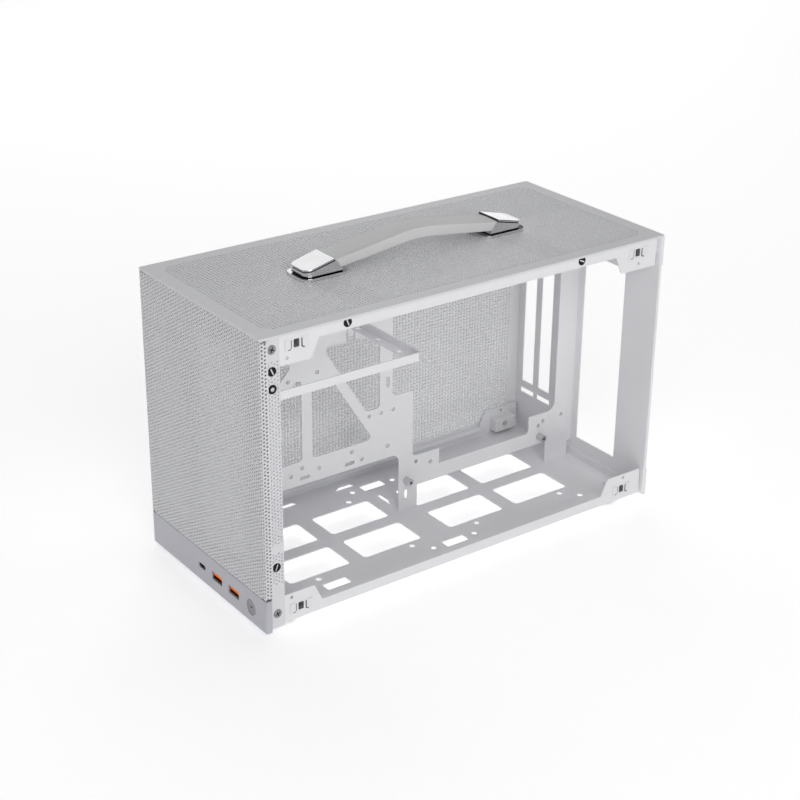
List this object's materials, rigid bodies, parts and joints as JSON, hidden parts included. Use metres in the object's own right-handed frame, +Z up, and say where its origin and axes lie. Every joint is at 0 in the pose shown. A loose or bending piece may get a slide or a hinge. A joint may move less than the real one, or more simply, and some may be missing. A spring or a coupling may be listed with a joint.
{
  "type": "mini-tower computer case",
  "caption": "White compact computer case with one side off, perforated skin, inner dividing plate, front ports and a carrying strap.",
  "frame": {"origin": "on the floor, in the middle under the case", "axes": "+Z up, -Y the front with the ports, +X the open side"},
  "size_m": [0.158, 0.348, 0.2396],
  "materials": {
    "white_steel": "satin white powder coat",
    "perforated_steel": "satin white powder coat on fine perforated sheet",
    "band_metal": "fine blasted and silver anodised",
    "clip_plastic": "moulded, fine matt",
    "stud_steel": "plated",
    "foot_rubber": "moulded",
    "screw_steel": "plated",
    "black_screw": "black zinc",
    "port_metal": "plated",
    "orange_plastic": "moulded",
    "dark_plastic": "moulded",
    "circuit_board": "solder mask",
    "button_metal": "spun face",
    "strap_hide": "pale grain with a smooth cut edge",
    "bright_metal": "mirror polish"
  },
  "bodies": {
    "case": {"bottom_tray": "white_steel", "top_frame": "white_steel", "front_frame": "white_steel", "rear_panel": "white_steel", "dividing_plate": "white_steel", "supply_bracket": "white_steel", "front_mesh": "perforated_steel", "top_panel": "perforated_steel", "front_band": "band_metal", "clip_near_front_lower": "clip_plastic", "clip_near_rear_lower": "clip_plastic", "clip_near_front_upper": "clip_plastic", "clip_near_rear_upper": "clip_plastic", "clip_far_front_lower": "clip_plastic", "clip_far_rear_lower": "clip_plastic", "clip_far_front_upper": "clip_plastic", "clip_far_rear_upper": "clip_plastic", "board_standoffs": "stud_steel", "foot_near_front": "foot_rubber", "foot_near_rear": "foot_rubber", "foot_far_front": "foot_rubber", "foot_far_rear": "foot_rubber", "strip_screws": "screw_steel", "bracket_screws": "black_screw", "rail_screws": "black_screw", "usb_a_shell_1": "port_metal", "usb_a_shell_2": "port_metal", "usb_c_shell": "port_metal", "usb_a_tongue_1": "orange_plastic", "usb_a_tongue_2": "orange_plastic", "usb_c_tongue": "dark_plastic", "power_switch": "dark_plastic", "board_spacers": "dark_plastic", "port_board": "circuit_board", "handle_strap": "strap_hide", "handle_cap_front": "bright_metal", "handle_cap_rear": "bright_metal", "handle_base_front": "bright_metal", "handle_base_rear": "bright_metal"},
    "side_panel": {"side_panel": "perforated_steel", "panel_studs": "stud_steel"},
    "power_button": {"power_button": "button_metal"}
  },
  "joints": [
    {"name": "panel_pull", "type": "slide", "parent": "case", "child": "side_panel", "axis": [-1, 0, 0], "range_m": [0, 0.03]},
    {"name": "power_press", "type": "slide", "parent": "case", "child": "power_button", "axis": [0, 1, 0], "range_m": [0, 0.0012], "stiffness_N_per_m": 1500}
  ]
}
